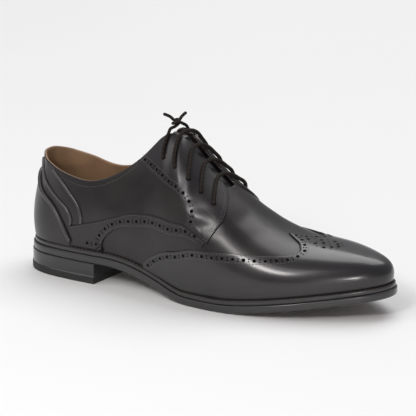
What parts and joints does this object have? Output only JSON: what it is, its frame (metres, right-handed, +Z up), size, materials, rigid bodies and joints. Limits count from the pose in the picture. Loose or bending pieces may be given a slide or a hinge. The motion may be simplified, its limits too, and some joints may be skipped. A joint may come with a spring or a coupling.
{
  "type": "brogue shoe",
  "caption": "A black leather derby shoe with a wing cap, brogued panel edges, open lacing, a welted leather sole and a stacked heel, standing empty",
  "frame": {"origin": "on the floor, under the middle of the shoe's box", "axes": "+X towards the toe, +Y towards the inner side of the foot, +Z up"},
  "size_m": [0.3048, 0.1038, 0.1399],
  "materials": {
    "black_leather": "polished calf leather",
    "lining_leather": "plain tan lining leather",
    "sole_leather": "black waxed edge",
    "rubber": "matte black",
    "lace_cord": "waxed round cotton"
  },
  "bodies": {
    "root": {"top_lift": "rubber", "heel_block": "sole_leather", "outsole": "sole_leather", "welt": "sole_leather", "insole": "lining_leather", "upper": "black_leather", "toe_cap": "black_leather", "counter": "black_leather", "facing_lateral": "black_leather", "facing_medial": "black_leather", "band_lateral": "black_leather", "band_medial": "black_leather", "tongue": "black_leather", "lace_bar_1": "lace_cord", "lace_bar_2": "lace_cord", "lace_bar_3": "lace_cord", "lace_bar_4": "lace_cord", "lace_bar_5": "lace_cord", "lace_knot": "lace_cord", "lace_end_outer": "lace_cord", "lace_end_inner": "lace_cord"}
  },
  "joints": []
}
